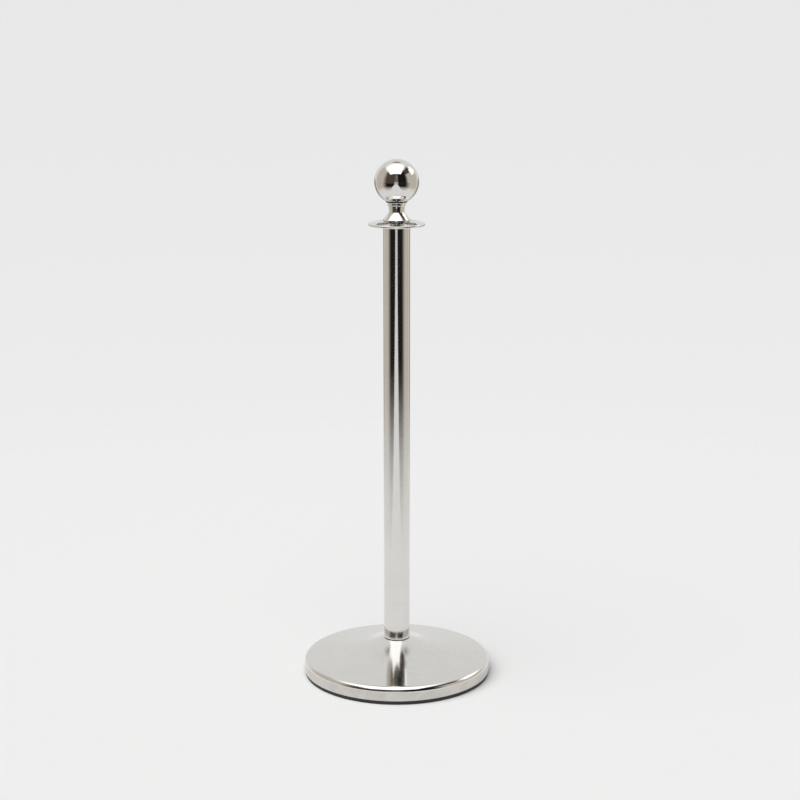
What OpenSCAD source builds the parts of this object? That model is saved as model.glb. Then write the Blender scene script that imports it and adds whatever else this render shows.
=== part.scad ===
// Rope barrier stanchion: a ballasted round base under a spun steel cover, a tube post that
// screws onto it, a flange with four rope-hook holes, and a ball finial that screws into the post.
// Sizes are in millimetres. The origin is the centre of the ring that stands on the floor; +Z is up.
// Threads are plain cylinders at their outer size.

/* [Overall] */
// Height from the floor to the top of the ball
overall_h = 1000; // [800:10:1200]
// Diameter of the base over its cover
base_d = 360; // [290:5:440]
// Outer diameter of the post tube
tube_d = 50; // [38:1:63]
// Wall of the post tube
tube_wall = 1.2; // [1:0.1:2]

/* [Base cover] */
// Thickness of the spun steel sheet
cover_wall = 1; // [0.8:0.1:1.5]
// Height of the straight skirt, from its lower edge to the shoulder
skirt_h = 17.4; // [14:0.2:26]
// Radius of the shoulder between the skirt and the dome
shoulder_r = 10; // [6:0.5:14]
// Height of the crown that the post stands on above the start of the shoulder
dome_rise = 45.6; // [38:0.2:60]
// Extra height that the dome gains as it sweeps up to the post
flare_rise = 14; // [8:0.5:18]
// How soon that sweep dies away: a higher power keeps it nearer to the post
flare_power = 3.5; // [2.5:0.1:5]
// Width of the lip that is turned in along the skirt's lower edge
lip_w = 9; // [7:0.5:12]

/* [Foot ring] */
// Height of the rubber that shows below the skirt
ring_h = 7; // [5:0.5:12]
// How far the rubber stands back from the skirt
ring_inset = 1.8; // [1:0.2:4]
// Width of the rubber web inside the lip
ring_web = 5; // [3:0.5:8]
// How far the ring reaches out over the lip to grip it
ring_grip = 4; // [2:0.5:5]
// Thickness of that upper grip
ring_grip_t = 2.4; // [1.6:0.2:4]
// Rounding of the ring's outer lower edge
ring_round = 1.2; // [0.6:0.2:2]

/* [Base weight] */
// Thickness of the cast disc
weight_t = 13; // [10:0.5:16]
// Gap between the disc's edge and the skirt
weight_gap = 5; // [3:0.5:9]
// How far the hub under the crown of the cover stands back from the outside of the tube
hub_step = 3; // [1:0.5:6]
// Diameter of the hub where it grows out of the disc
hub_root_d = 84; // [78:1:96]
// Chamfer round the disc's edges
weight_chamfer = 2; // [1:0.5:4]
// Gap between the plate washer and the wall of the pocket it lies in
pocket_gap = 0.9; // [0.5:0.1:2]

/* [Base bolt] */
// Thread diameter of the bolt that holds the post
bolt_d = 16; // [12:1:20]
// Length of the bolt under its head
bolt_l = 75; // [70:1:84]
// Height of the bolt's head
bolt_head_h = 10; // [8:0.5:13]
// Depth that the head stays inside the weight's lower face
head_recess = 1.5; // [1:0.5:4]
// Outer diameter of the plate washer
plate_washer_d = 50; // [42:1:56]
// Thickness of the plate washer
plate_washer_t = 3; // [2:0.5:4]
// Thickness of the spring washer under the bolt's head
bolt_spring_t = 3.5; // [2.5:0.5:4.5]

/* [Post plugs] */
// Length of the turned plug in the foot of the post
lower_plug_l = 40; // [34:1:60]
// Diameter of the step below it that carries the seat ring
lower_spigot_d = 34; // [28:1:36]
// Thickness of the seat ring between the post and the cover
seat_t = 1.5; // [1:0.1:3]
// Length of the turned plug in the head of the post
upper_plug_l = 30; // [24:1:50]
// Diameter of the step above it that the rope flange turns on
upper_spigot_d = 22; // [18:1:23]

/* [Rope flange] */
// Diameter of a rope-hook hole
hook_hole_d = 22; // [16:0.5:28]
// Number of rope-hook holes
hook_holes = 4; // [2:1:4]
// Solid width between the post and the holes
hook_web = 0.5; // [0.5:0.5:4]
// Solid width between the holes and the rim
rim_w = 5; // [4.5:0.5:8]
// Thickness of the rounded rim
rim_t = 4.8; // [3:0.2:7]
// Thickness of the flange where the finial bears on it
flange_hub_t = 8.3; // [6:0.1:12]

/* [Finial neck] */
// Diameter of the foot of the neck
neck_foot_d = 51; // [44:1:56]
// Height of the straight edge of that foot
neck_edge_h = 2.7; // [1.5:0.1:4]
// Height over which the foot sweeps in to the waist
neck_sweep_h = 15; // [13:0.5:18]
// Height of the waist
neck_waist_h = 9.8; // [6:0.2:14]
// Diameter of the waist
neck_waist_d = 29.2; // [28:0.2:32]
// Outer diameter of the bead under the cup
bead_d = 34; // [33.6:0.2:38]
// Thickness of that bead
bead_t = 5.4; // [4:0.2:6]
// Diameter of the groove between the bead and the cup
cup_root_d = 33; // [31:0.5:34]
// Diameter of the cup that the ball sits in
cup_d = 40; // [38:0.5:44]
// Height of the cup above the bead
cup_h = 3.5; // [3:0.1:5]
// Height of the glide ring that shows between the neck and the flange
glide_gap = 0.5; // [0.3:0.1:1]
// Depth of the groove in the neck that holds the glide ring
glide_groove = 0.8; // [0.5:0.1:1.2]
// Wall of the neck between the nut's recess and that groove
glide_wall = 1.5; // [1:0.1:3]
// Wall of the neck outside that groove
glide_edge = 2.5; // [2:0.1:4]

/* [Finial ball] */
// Diameter of the ball
ball_d = 83; // [66:1:100]
// Wall of the hollow ball
ball_wall = 1.2; // [0.8:0.1:2]
// Diameter of the threaded boss welded into the ball
boss_d = 24; // [20:1:26]
// Length of that boss
boss_l = 16; // [12:1:22]

/* [Finial stud] */
// Thread diameter of the stud that runs from the ball into the post
stud_d = 12; // [10:1:14]
// Length of the stud that is screwed into the post
stud_reach = 24.5; // [18:0.5:28]
// Height of the lock nut inside the neck
nut_h = 10; // [6:0.5:11]
// Thickness of the spring washer above that nut
nut_spring_t = 2.5; // [1.5:0.5:3]
// Room left below that nut in its recess
nut_room = 1.5; // [1:0.5:3]

/* [Fits] */
// Radial clearance of a turning or screwed fit
turn_fit = 0.05; // [0.02:0.01:0.1]
// Radial clearance of a piece that is pressed or welded into another
fixed_fit = 0.05; // [0.02:0.01:0.1]
// Clearance between pieces that only pass each other
free_gap = 0.3; // [0.2:0.05:0.6]
// Radial clearance of a bolt or stud in a plain hole
bolt_gap = 0.75; // [0.5:0.05:1]

/* [Hidden] */
$fn = 128;
eps = 0.01;
cut_past = 1;
hex_fn = 6;
arc_steps = 8;
dome_steps = 20;
dome_spread = 1.4;
sweep_steps = 10;
bolt_af_ratio = 1.5;
nut_af_ratio = 19 / 12;
spring_in_ratio = 1.05;
spring_out_ratio = 1.65;
spring_slit_w = 1.6;
spring_slit_angle = 30;
first_hook_hole = 45;
chamfer = 0.6;
corner_r = 1.5;
sweep_power = 1.25;
weight_hub_edge = 3;

steel_colour = [0.80, 0.80, 0.78];
zinc_colour = [0.66, 0.67, 0.68];
iron_colour = [0.20, 0.20, 0.21];
rubber_colour = [0.07, 0.07, 0.07];
nylon_colour = [0.13, 0.13, 0.13];

base_r = base_d / 2;
tube_r = tube_d / 2;
tube_in_r = tube_r - tube_wall;
ball_r = ball_d / 2;

// Levels of the base, from the floor up
shoulder_z = ring_h + skirt_h;
crown_z = shoulder_z + dome_rise;
crown_r = tube_r + free_gap;
weight_z = ring_h + cover_wall + ring_grip_t;
hub_seat_z = weight_z + head_recess + bolt_head_h + bolt_spring_t + plate_washer_t;
bolt_head_z = weight_z + head_recess;
tube_z = crown_z + seat_t;
lower_plug_z = crown_z + free_gap;

// Levels of the head, from the top of the ball down
ball_z = overall_h - ball_r;
seat_r = ball_r + fixed_fit;
neck_h = neck_edge_h + neck_sweep_h + neck_waist_h + bead_t + cup_h;
cup_lip_r = cup_d / 2;
cup_z = ball_z - sqrt(pow(seat_r, 2) - pow(cup_lip_r, 2));
neck_z = cup_z - neck_h;
flange_top_z = neck_z - glide_gap;
tube_top_z = flange_top_z - flange_hub_t;
boss_z = ball_z - sqrt(pow(ball_r, 2) - pow(boss_d / 2, 2));
spigot_top_z = flange_top_z - free_gap;
nut_recess_h = nut_room + nut_h + nut_spring_t;

// Rope flange
hook_ring_r = max(tube_r, neck_foot_d / 2) + hook_web + hook_hole_d / 2;
flange_hub_r = hook_ring_r - hook_hole_d / 2;
flange_r = hook_ring_r + hook_hole_d / 2 + rim_w;

// Thread and washer radii
bolt_r = bolt_d / 2;
stud_r = stud_d / 2;
nut_recess_r = nut_af_ratio * stud_r / cos(180 / hex_fn) + free_gap;
glide_in_r = nut_recess_r + glide_wall;
glide_out_r = neck_foot_d / 2 - glide_edge;

// ---- shared shapes ----

// Flat ring or disc with a hole
module ring(z, h, r_out, r_in) {
    translate([0, 0, z]) difference() {
        cylinder(h = h, r = r_out);
        translate([0, 0, -eps]) cylinder(h = h + 2 * eps, r = r_in);
    }
}

// Threaded rod along +Z with both ends chamfered
module rod(z, l, r) {
    translate([0, 0, z]) rotate_extrude() polygon([
        [0, 0], [r - chamfer, 0], [r, chamfer], [r, l - chamfer], [r - chamfer, l], [0, l]
    ]);
}

// Hexagon with its corners chamfered at both ends; af is the size across the flats
module hexagon(z, h, af) {
    corner = af / 2 / cos(180 / hex_fn);
    bevel = (corner - af / 2) / 2;
    translate([0, 0, z]) intersection() {
        cylinder(h = h, r = corner, $fn = hex_fn);
        rotate_extrude() polygon([
            [0, 0], [af / 2, 0], [corner + eps, bevel], [corner + eps, h - bevel], [af / 2, h], [0, h]
        ]);
    }
}

// Spring washer: a ring with a slanted slit
module spring_washer(z, t, r_thread) {
    r_out = r_thread * spring_out_ratio;
    difference() {
        ring(z, t, r_out, r_thread * spring_in_ratio);
        translate([r_out / 2, 0, z + t / 2]) rotate([spring_slit_angle, 0, 0])
            cube([r_out + 2 * cut_past, spring_slit_w, 4 * t], center = true);
    }
}

// ---- base ----

// Slope of the straight part of the dome, from a crown with this radius and height to its shoulder
function dome_slope(crown, top, outer, round_r) =
    let(
        run = outer - round_r - crown,
        drop = top - flare_rise - shoulder_z
    )
    atan2(drop, run) - asin(round_r / norm([run, drop]));

// Height of the dome at radius r, between its crown and the start of its shoulder
function dome_z(r, crown, end, top, slope) =
    top - flare_rise - (r - crown) * tan(slope)
    + flare_rise * pow((end - r) / (end - crown), flare_power);

// Outline of the space under the cover's surface, inset by the given thickness
function cover_outline(inset) =
    let(
        outer = base_r - inset,
        round_r = shoulder_r - inset,
        top = crown_z - inset,
        bottom = ring_h + inset,
        corner = corner_r - inset,
        slope = dome_slope(crown_r, top, outer, round_r),
        dome_end = outer - round_r + round_r * sin(slope)
    )
    concat(
        [[0, bottom], [0, top]],
        [for (i = [0:dome_steps])
            let(r = crown_r + (dome_end - crown_r) * pow(i / dome_steps, dome_spread))
            [r, dome_z(r, crown_r, dome_end, top, slope)]],
        [for (i = [1:arc_steps])
            let(a = (90 - slope) * (1 - i / arc_steps))
            [outer - round_r + round_r * cos(a), shoulder_z + round_r * sin(a)]],
        [for (i = [0:arc_steps / 2])
            let(a = 180 * i / arc_steps)
            [outer - corner + corner * cos(a), bottom + corner - corner * sin(a)]]
    );

// Spun cover with a hole for the bolt and a lip turned in along its lower edge
module base_cover() {
    color(steel_colour) rotate_extrude() difference() {
        polygon(cover_outline(0));
        polygon(cover_outline(cover_wall));
        translate([0, crown_z - 2 * cover_wall]) square([bolt_r + bolt_gap, 3 * cover_wall]);
        translate([0, ring_h - cover_wall]) square([base_r - lip_w, 3 * cover_wall]);
    }
}

// Rubber ring on the floor, with a groove that grips the cover's lip
module foot_ring() {
    lip_r = base_r - lip_w;
    web_r = lip_r - free_gap;
    outer = base_r - ring_inset;
    color(rubber_colour) rotate_extrude() {
        translate([web_r - ring_web, 0]) square([outer - ring_round - web_r + ring_web, ring_h]);
        translate([web_r, ring_round]) square([outer - web_r, ring_h - ring_round]);
        translate([outer - ring_round, ring_round]) circle(ring_round);
        translate([web_r - ring_web, 0]) square([ring_web, weight_z]);
        translate([web_r - ring_web, weight_z - ring_grip_t + eps])
            square([ring_web + free_gap + ring_grip, ring_grip_t - eps]);
    }
}

// Cast disc with a hub that holds up the crown, and a pocket below for the bolt's head
module base_weight() {
    outer = base_r - cover_wall - weight_gap;
    top = weight_z + weight_t;
    hub_top = crown_z - cover_wall;
    hub_top_r = tube_r - hub_step;
    color(iron_colour) rotate_extrude() difference() {
        polygon([
            [0, weight_z],
            [outer - weight_chamfer, weight_z],
            [outer, weight_z + weight_chamfer],
            [outer, top - weight_chamfer],
            [outer - weight_chamfer, top],
            [hub_root_d / 2, top],
            [hub_top_r, hub_top - weight_hub_edge],
            [hub_top_r, hub_top],
            [0, hub_top]
        ]);
        translate([0, weight_z - eps]) square([bolt_r + bolt_gap, hub_top - weight_z + 2 * eps]);
        translate([0, weight_z - eps])
            square([plate_washer_d / 2 + pocket_gap, hub_seat_z - weight_z + eps]);
    }
}

module plate_washer() {
    color(zinc_colour)
        ring(hub_seat_z - plate_washer_t, plate_washer_t, plate_washer_d / 2, bolt_r + bolt_gap);
}

module bolt_spring_washer() {
    color(zinc_colour) spring_washer(bolt_head_z + bolt_head_h, bolt_spring_t, bolt_r);
}

// Hexagon bolt that comes up through the weight and the cover into the post
module base_bolt() {
    color(zinc_colour) {
        hexagon(bolt_head_z, bolt_head_h, bolt_af_ratio * bolt_d);
        rod(bolt_head_z + bolt_head_h - chamfer - eps, bolt_l + chamfer + eps, bolt_r);
    }
}

// ---- post ----

// Nylon ring on the step of the lower plug, between the post and the cover
module seat_ring() {
    color(nylon_colour) ring(crown_z, seat_t, tube_r - free_gap, lower_spigot_d / 2 + 2 * turn_fit);
}

module post_tube() {
    color(steel_colour) rotate_extrude() polygon([
        [tube_in_r, tube_z],
        [tube_r - chamfer / 2, tube_z],
        [tube_r, tube_z + chamfer / 2],
        [tube_r, tube_top_z - chamfer / 2],
        [tube_r - chamfer / 2, tube_top_z],
        [tube_in_r, tube_top_z]
    ]);
}

// Turned plug in the foot of the tube, threaded for the base bolt
module lower_plug() {
    bore = bolt_r + turn_fit;
    body_r = tube_in_r - fixed_fit;
    top = lower_plug_z + lower_plug_l;
    color(zinc_colour) rotate_extrude() polygon([
        [bore + chamfer, lower_plug_z],
        [lower_spigot_d / 2, lower_plug_z],
        [lower_spigot_d / 2, tube_z],
        [body_r, tube_z],
        [body_r, top - chamfer],
        [body_r - chamfer, top],
        [bore, top],
        [bore, lower_plug_z + chamfer]
    ]);
}

// Turned plug in the head of the tube, threaded for the finial; its step carries the rope flange
module upper_plug() {
    bore = stud_r + turn_fit;
    body_r = tube_in_r - fixed_fit;
    bottom = tube_top_z - upper_plug_l;
    spigot_r = upper_spigot_d / 2;
    color(zinc_colour) rotate_extrude() polygon([
        [bore, bottom],
        [body_r - chamfer, bottom],
        [body_r, bottom + chamfer],
        [body_r, tube_top_z],
        [spigot_r, tube_top_z],
        [spigot_r, spigot_top_z - chamfer],
        [spigot_r - chamfer, spigot_top_z],
        [bore + chamfer, spigot_top_z],
        [bore, spigot_top_z - chamfer]
    ]);
}

// ---- head ----

// Flange with a rounded rim, a raised centre and a ring of holes for the rope hooks
module rope_flange() {
    bore = upper_spigot_d / 2 + turn_fit;
    rim_r = rim_t / 2;
    color(steel_colour) difference() {
        rotate_extrude() {
            polygon([
                [bore, tube_top_z],
                [flange_r - rim_r, tube_top_z],
                [flange_r - rim_r, tube_top_z + rim_t],
                [flange_hub_r, flange_top_z],
                [bore, flange_top_z]
            ]);
            translate([flange_r - rim_r, tube_top_z + rim_r]) circle(rim_r);
        }
        for (i = [0:hook_holes - 1]) rotate([0, 0, first_hook_hole + i * 360 / hook_holes])
            translate([hook_ring_r, 0, tube_top_z - cut_past])
                cylinder(h = flange_hub_t + 2 * cut_past, r = hook_hole_d / 2);
    }
}

// Nylon ring in the neck's groove, which the neck turns on as the finial is screwed down
module glide_ring() {
    color(nylon_colour)
        ring(flange_top_z, glide_gap + glide_groove, glide_out_r, glide_in_r);
}

// Radius of the sweep from the foot of the neck (0) in to its waist (1)
function sweep_r(t) = neck_waist_d / 2 + (neck_foot_d - neck_waist_d) / 2 * pow(1 - t, sweep_power);

// Turned neck: foot, sweep, waist, bead and the cup that holds the ball
module finial_neck() {
    foot_r = neck_foot_d / 2;
    sweep_z = neck_z + neck_edge_h;
    waist_z = sweep_z + neck_sweep_h;
    bead_z = waist_z + neck_waist_h + bead_t / 2;
    cup_root_z = bead_z + bead_t / 2;
    cup_root_r = cup_root_d / 2;
    color(steel_colour) rotate_extrude() difference() {
        union() {
            polygon(concat(
                [[0, neck_z], [foot_r - chamfer, neck_z], [foot_r, neck_z + chamfer]],
                [for (i = [0:sweep_steps])
                    [sweep_r(i / sweep_steps), sweep_z + neck_sweep_h * i / sweep_steps]],
                [[neck_waist_d / 2, bead_z - bead_t / 2], [cup_root_r, cup_root_z]],
                [for (i = [1:arc_steps])
                    let(a = 90 * i / arc_steps)
                    [cup_root_r + (cup_lip_r - cup_root_r) * sin(a), cup_root_z + cup_h * (1 - cos(a))]],
                [[0, cup_z]]
            ));
            translate([(bead_d - bead_t) / 2, bead_z]) circle(bead_t / 2);
        }
        translate([0, ball_z]) circle(seat_r);
        square([stud_r + bolt_gap / 2, ball_z]);
        translate([0, neck_z - cut_past]) square([nut_recess_r, nut_recess_h + cut_past]);
        translate([glide_in_r - 2 * turn_fit, neck_z - cut_past])
            square([glide_out_r - glide_in_r + 2 * turn_fit + free_gap, glide_groove + cut_past]);
    }
}

// Threaded rod that joins the ball, the neck and the post
module finial_stud() {
    bottom = spigot_top_z - stud_reach;
    color(zinc_colour) rod(bottom, boss_z + boss_l - bottom, stud_r);
}

module nut_spring_washer() {
    color(zinc_colour) spring_washer(neck_z + nut_recess_h - nut_spring_t, nut_spring_t, stud_r);
}

// Nut that locks the neck against the ball
module lock_nut() {
    af = nut_af_ratio * stud_d;
    z = neck_z + nut_recess_h - nut_spring_t - nut_h;
    color(zinc_colour) difference() {
        hexagon(z, nut_h, af);
        translate([0, 0, z - cut_past]) cylinder(h = nut_h + 2 * cut_past, r = stud_r + turn_fit);
    }
}

// Threaded boss welded into the opening at the bottom of the ball
module ball_boss() {
    color(zinc_colour) ring(boss_z, boss_l, boss_d / 2, stud_r + turn_fit);
}

module ball_shell() {
    hole_r = boss_d / 2 + fixed_fit;
    color(steel_colour) translate([0, 0, ball_z]) difference() {
        sphere(r = ball_r);
        sphere(r = ball_r - ball_wall);
        translate([0, 0, -ball_r - cut_past]) cylinder(h = ball_r, r = hole_r);
    }
}

foot_ring();
base_cover();
base_weight();
plate_washer();
bolt_spring_washer();
base_bolt();
seat_ring();
post_tube();
lower_plug();
upper_plug();
rope_flange();
glide_ring();
finial_neck();
finial_stud();
nut_spring_washer();
lock_nut();
ball_boss();
ball_shell();
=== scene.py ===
from math import acos, asin, atan2, ceil, cos, floor, pi, radians, sin, sqrt, tan

import bmesh
import bpy
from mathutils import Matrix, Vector


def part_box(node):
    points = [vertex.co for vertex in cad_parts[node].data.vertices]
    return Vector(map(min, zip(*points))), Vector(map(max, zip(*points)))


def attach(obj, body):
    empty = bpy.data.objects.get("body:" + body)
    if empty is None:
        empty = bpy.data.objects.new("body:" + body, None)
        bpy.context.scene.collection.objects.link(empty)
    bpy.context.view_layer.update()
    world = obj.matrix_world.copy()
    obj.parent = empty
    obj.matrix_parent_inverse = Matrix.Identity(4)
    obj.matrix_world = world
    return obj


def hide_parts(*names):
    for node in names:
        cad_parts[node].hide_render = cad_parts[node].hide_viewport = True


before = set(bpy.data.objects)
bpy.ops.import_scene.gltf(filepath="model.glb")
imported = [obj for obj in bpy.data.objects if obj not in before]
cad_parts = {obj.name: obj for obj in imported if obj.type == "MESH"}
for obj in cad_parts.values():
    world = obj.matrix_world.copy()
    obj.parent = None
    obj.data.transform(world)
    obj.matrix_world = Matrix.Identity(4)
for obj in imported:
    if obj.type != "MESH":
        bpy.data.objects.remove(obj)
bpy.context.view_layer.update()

MM = 0.001


# ---------------------------------------------------------------------------------------------
# Cast weight. A sand-cast iron disc with a hub that holds up the crown of the cover. It is dipped
# in black paint, and it is seen only from below, inside the rubber ring.

def path_normals(corners, closed):
    """Points and outward normals along corners (radius, height, rounding), metal on the left."""
    least_turn = radians(0.5)
    arc_step = radians(10.0)
    places, normals = [], []
    last = len(corners) - 1
    for i, corner in enumerate(corners):
        here = Vector(corner[:2])
        rounding = corner[2] if len(corner) > 2 else 0.0
        before = here - Vector(corners[i - 1][:2])
        after = Vector(corners[(i + 1) % len(corners)][:2]) - here
        if not closed and i == 0:
            before = after
        if not closed and i == last:
            after = before
        turn = atan2(before.cross(after), before.dot(after))
        if rounding > 0.0 and abs(turn) > least_turn:
            side = 1.0 if turn > 0.0 else -1.0
            start = before.normalized()
            centre = here - start * rounding * tan(abs(turn) / 2)
            centre += side * rounding * Vector((-start.y, start.x))
            steps = max(2, ceil(abs(turn) / arc_step))
            for step in range(steps + 1):
                part = turn * step / steps
                along = Vector((start.x * cos(part) - start.y * sin(part),
                                start.x * sin(part) + start.y * cos(part)))
                out = Vector((along.y, -along.x))
                places.append(centre + side * rounding * out)
                normals.append(out)
        else:
            along = before.normalized() * after.length + after.normalized() * before.length
            along.normalize()
            places.append(here)
            normals.append(Vector((along.y, -along.x)))
    return places, normals


def link_new(name, data):
    """Puts a new object into the scene: a mesh, a lamp or the camera."""
    made = bpy.data.objects.new(name, data)
    bpy.context.scene.collection.objects.link(made)
    return made


def smooth_piece(name, verts, outs, faces):
    """A piece whose shading follows the exact normals in outs, one for each vertex."""
    mesh = bpy.data.meshes.new(name)
    mesh.from_pydata(verts, [], faces)
    mesh.shade_smooth()
    mesh.normals_split_custom_set_from_vertices(outs)
    return link_new(name, mesh)


def spin_mesh(name, corners, sides=192, closed=True):
    """Turned piece: the path of corners goes once round the Z axis, with exact normals."""
    on_axis = 1e-7
    places, normals = path_normals(corners, closed)
    verts, outs, rings = [], [], []
    for place, out in zip(places, normals):
        ring = []
        for side in range(1 if place.x < on_axis else sides):
            turn = 2 * pi * side / sides
            verts.append((place.x * cos(turn), place.x * sin(turn), place.y))
            if place.x < on_axis:
                outs.append((0.0, 0.0, 1.0 if out.y > 0 else -1.0))
            else:
                outs.append((out.x * cos(turn), out.x * sin(turn), out.y))
            ring.append(len(verts) - 1)
        rings.append(ring)
    faces = []
    for i in range(len(rings) if closed else len(rings) - 1):
        low, high = rings[i], rings[(i + 1) % len(rings)]
        for side in range(sides):
            quad = [low[side % len(low)], low[(side + 1) % len(low)],
                    high[(side + 1) % len(high)], high[side % len(high)]]
            faces.append(list(dict.fromkeys(quad)))
    return smooth_piece(name, verts, outs, faces)


def add_node(tree, kind, inputs=None, **settings):
    """A shader node. inputs maps a socket to a value or to the socket that feeds it."""
    made = tree.nodes.new(kind)
    for key, value in settings.items():
        setattr(made, key, value)
    for key, value in (inputs or {}).items():
        if isinstance(value, bpy.types.NodeSocket):
            tree.links.new(value, made.inputs[key])
        else:
            made.inputs[key].default_value = value
    return made


def maths(tree, operation, first, second=0.0, third=0.0):
    made = add_node(tree, "ShaderNodeMath", {0: first, 1: second, 2: third}, operation=operation)
    return made.outputs[0]


def fade(tree, value, start, end, low=0.0, high=1.0):
    """Smooth step: low where value is at start, high where it is at end."""
    made = add_node(
        tree, "ShaderNodeMapRange",
        {"Value": value, "From Min": start, "From Max": end, "To Min": low, "To Max": high},
        interpolation_type="SMOOTHSTEP",
    )
    return made.outputs["Result"]


def mix_colour(tree, amount, first, second):
    made = add_node(tree, "ShaderNodeMix", {0: amount, 6: first, 7: second}, data_type="RGBA")
    return made.outputs[2]


def noise_field(tree, place, scale, detail, roughness=0.5, distortion=0.0):
    """Cloudy noise from 0 to 1; its grain is about one metre divided by scale."""
    made = add_node(
        tree, "ShaderNodeTexNoise",
        {"Vector": place, "Scale": scale, "Detail": detail, "Roughness": roughness,
         "Distortion": distortion},
    )
    return made.outputs["Fac"]


def from_axis(tree, parts):
    """Distance from the Z axis, from the separate coordinates in parts."""
    flat = add_node(tree, "ShaderNodeCombineXYZ", {0: parts.outputs[0], 1: parts.outputs[1]})
    made = add_node(tree, "ShaderNodeVectorMath", {0: flat.outputs[0]}, operation="LENGTH")
    return made.outputs["Value"]


def new_effect(name, inputs, outputs):
    """An empty node group; returns its tree and its input sockets by name."""
    tree = bpy.data.node_groups.new(name, "ShaderNodeTree")
    for label, (kind, value) in inputs.items():
        socket = tree.interface.new_socket(name=label, in_out="INPUT", socket_type=kind)
        if value is not None:
            socket.default_value = value
    for label, kind in outputs.items():
        tree.interface.new_socket(name=label, in_out="OUTPUT", socket_type=kind)
    entry = tree.nodes.new("NodeGroupInput")
    return tree, {label: entry.outputs[label] for label in inputs}


def end_effect(tree, results):
    leave = tree.nodes.new("NodeGroupOutput")
    for label, socket in results.items():
        tree.links.new(socket, leave.inputs[label])


def use_effect(tree, effect, inputs):
    return add_node(tree, "ShaderNodeGroup", inputs, node_tree=effect).outputs


def new_material(name, **shader_values):
    """A material with only its Principled shader; returns it, its tree, its shader and places."""
    material = bpy.data.materials.new(name)
    material.use_nodes = True
    tree = material.node_tree
    shader = tree.nodes["Principled BSDF"]
    for key, value in shader_values.items():
        shader.inputs[key.replace("_", " ")].default_value = value
    place = add_node(tree, "ShaderNodeTexCoord").outputs["Object"]
    return material, tree, shader, place


def bump(tree, shader, height):
    """Feeds a height in metres to the shader's normal."""
    made = add_node(tree, "ShaderNodeBump", {"Height": height, "Distance": 1.0, "Strength": 1.0})
    tree.links.new(made.outputs["Normal"], shader.inputs["Normal"])


def apply_finish(tree, shader, finish):
    """Feeds the colour, roughness and height of an effect to the shader."""
    tree.links.new(finish["Colour"], shader.inputs["Base Color"])
    tree.links.new(finish["Roughness"], shader.inputs["Roughness"])
    bump(tree, shader, finish["Height"])


# Sand texture of a casting or of moulded rubber: grains and pits in a skin that is never flat.
grain_tree, grain_in = new_effect(
    "sand_skin",
    {"Place": ("NodeSocketVector", None), "Grain Size": ("NodeSocketFloat", 0.002),
     "Height": ("NodeSocketFloat", 0.0001), "Pits": ("NodeSocketFloat", 0.5)},
    {"Height": "NodeSocketFloat", "Mask": "NodeSocketFloat"},
)
grain_scale = maths(grain_tree, "DIVIDE", 1.0, grain_in["Grain Size"])
grains = noise_field(grain_tree, grain_in["Place"], grain_scale, 4.0, roughness=0.62)
clump_scale = maths(grain_tree, "DIVIDE", grain_scale, 9.0)
clumps = noise_field(grain_tree, grain_in["Place"], clump_scale, 3.0)
pit_scale = maths(grain_tree, "DIVIDE", grain_scale, 4.0)
pits = add_node(grain_tree, "ShaderNodeTexVoronoi",
                {"Vector": grain_in["Place"], "Scale": pit_scale, "Randomness": 1.0})
pit_mask = fade(grain_tree, pits.outputs["Distance"], 0.16, 0.04)
pit_mask = maths(grain_tree, "MULTIPLY", pit_mask,
                 fade(grain_tree, clumps, 0.5, 0.62))
pit_mask = maths(grain_tree, "MULTIPLY", pit_mask, grain_in["Pits"])
relief = maths(grain_tree, "MULTIPLY_ADD", clumps, 2.0, grains)
relief = maths(grain_tree, "SUBTRACT", relief, maths(grain_tree, "MULTIPLY", pit_mask, 2.5))
end_effect(grain_tree, {
    "Height": maths(grain_tree, "MULTIPLY", relief, grain_in["Height"]),
    "Mask": fade(grain_tree, grains, 0.35, 0.68),
})

weight_low, weight_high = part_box("base_weight")
weight_disc_t = 13 * MM
weight_hub_r = 22 * MM
weight_root_r = 42 * MM
weight_pocket_r = 25.9 * MM
weight_pocket_h = 18 * MM
weight_bore_r = 8.75 * MM
weight_edge = 2.5 * MM
weight_root_bend = 6 * MM
weight_hub_collar = 3 * MM
weight_corner = 0.6 * MM
weight_bore_edge = 0.4 * MM
weight_pocket_bend = 1.2 * MM
paint_black = (0.018, 0.018, 0.019, 1)
paint_grey = (0.040, 0.040, 0.041, 1)
worn_iron = (0.16, 0.13, 0.11, 1)

weight_disc_top = weight_low.z + weight_disc_t
weight = spin_mesh("weight_casting", [
    (weight_pocket_r, weight_low.z, weight_corner),
    (weight_high.x, weight_low.z, weight_edge),
    (weight_high.x, weight_disc_top, weight_edge),
    (weight_root_r, weight_disc_top, weight_root_bend),
    (weight_hub_r, weight_high.z - weight_hub_collar, weight_hub_collar / 2),
    (weight_hub_r, weight_high.z, weight_corner),
    (weight_bore_r, weight_high.z, weight_bore_edge),
    (weight_bore_r, weight_low.z + weight_pocket_h, weight_bore_edge),
    (weight_pocket_r, weight_low.z + weight_pocket_h, weight_pocket_bend),
])
paint, tree, shader, place = new_material("black_painted_casting", Metallic=0.0, Coat_Weight=0.15,
                                          Coat_Roughness=0.35)
skin = use_effect(tree, grain_tree, {"Place": place, "Grain Size": 1.6 * MM,
                                     "Height": 0.06 * MM, "Pits": 1.0})
chips = noise_field(tree, place, 60.0, 6.0, roughness=0.7)
worn = fade(tree, chips, 0.66, 0.70)
paint_colour = mix_colour(tree, skin["Mask"], paint_black, paint_grey)
paint_colour = mix_colour(tree, worn, paint_colour, worn_iron)
tree.links.new(paint_colour, shader.inputs["Base Color"])
tree.links.new(fade(tree, skin["Mask"], 0.0, 1.0, 0.62, 0.42), shader.inputs["Roughness"])
bump(tree, shader, skin["Height"])
weight.data.materials.append(paint)
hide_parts("base_weight")
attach(weight, "base")


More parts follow.
